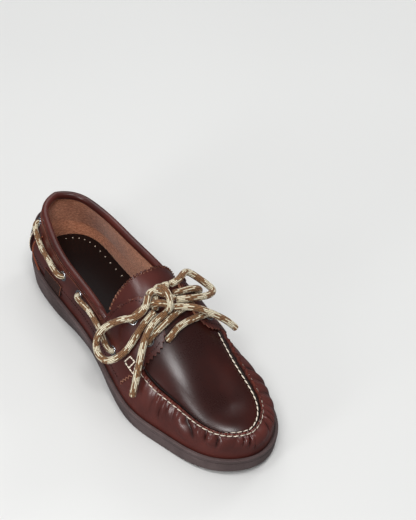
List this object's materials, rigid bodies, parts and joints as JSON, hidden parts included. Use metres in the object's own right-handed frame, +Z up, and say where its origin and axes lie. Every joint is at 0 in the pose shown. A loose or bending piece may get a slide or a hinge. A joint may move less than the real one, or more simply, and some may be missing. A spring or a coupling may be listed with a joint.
{
  "type": "boat shoe",
  "caption": "Low hand-sewn moccasin deck shoe for the right foot, with a raised apron seam, lace through side eyelets, a bow over the throat and a flat rubber sole.",
  "frame": {"origin": "on the floor under the middle of the outsole's length and width", "axes": "+X to the toe along the shoe, +Y to the inner (medial) side of the foot, +Z up"},
  "size_m": [0.2898, 0.1104, 0.1003],
  "materials": {
    "leather": "oiled dark reddish brown leather, glossy where it is stretched",
    "lining": "matt dark brown leather footbed over a tan suede lining",
    "sole": "matt grey brown moulded rubber",
    "eyelet": "bright rolled metal rings",
    "lace": "round woven cord in cream and tan blocks"
  },
  "bodies": {
    "root": {"outsole": "sole", "insole": "lining", "upper": "leather", "tongue": "leather", "tab_lateral": "leather", "tab_medial": "leather", "collar_roll": "leather", "heel_patch": "leather", "eyelet_heel_lateral": "eyelet", "eyelet_heel_medial": "eyelet", "eyelet_ankle_lateral": "eyelet", "eyelet_ankle_medial": "eyelet", "eyelet_waist_lateral": "eyelet", "eyelet_waist_medial": "eyelet", "eyelet_instep_lateral": "eyelet", "eyelet_instep_medial": "eyelet", "eyelet_tie_back_lateral": "eyelet", "eyelet_tie_back_medial": "eyelet", "eyelet_tie_front_lateral": "eyelet", "eyelet_tie_front_medial": "eyelet", "lace_heel_run_lateral": "lace", "lace_heel_run_medial": "lace", "lace_waist_run_lateral": "lace", "lace_waist_run_medial": "lace", "lace_bar_back": "lace", "lace_bar_front": "lace", "lace_rise_lateral": "lace", "lace_rise_medial": "lace", "lace_knot": "lace", "lace_loop_lateral": "lace", "lace_loop_medial": "lace", "lace_end_lateral": "lace", "lace_end_medial": "lace"}
  },
  "joints": []
}
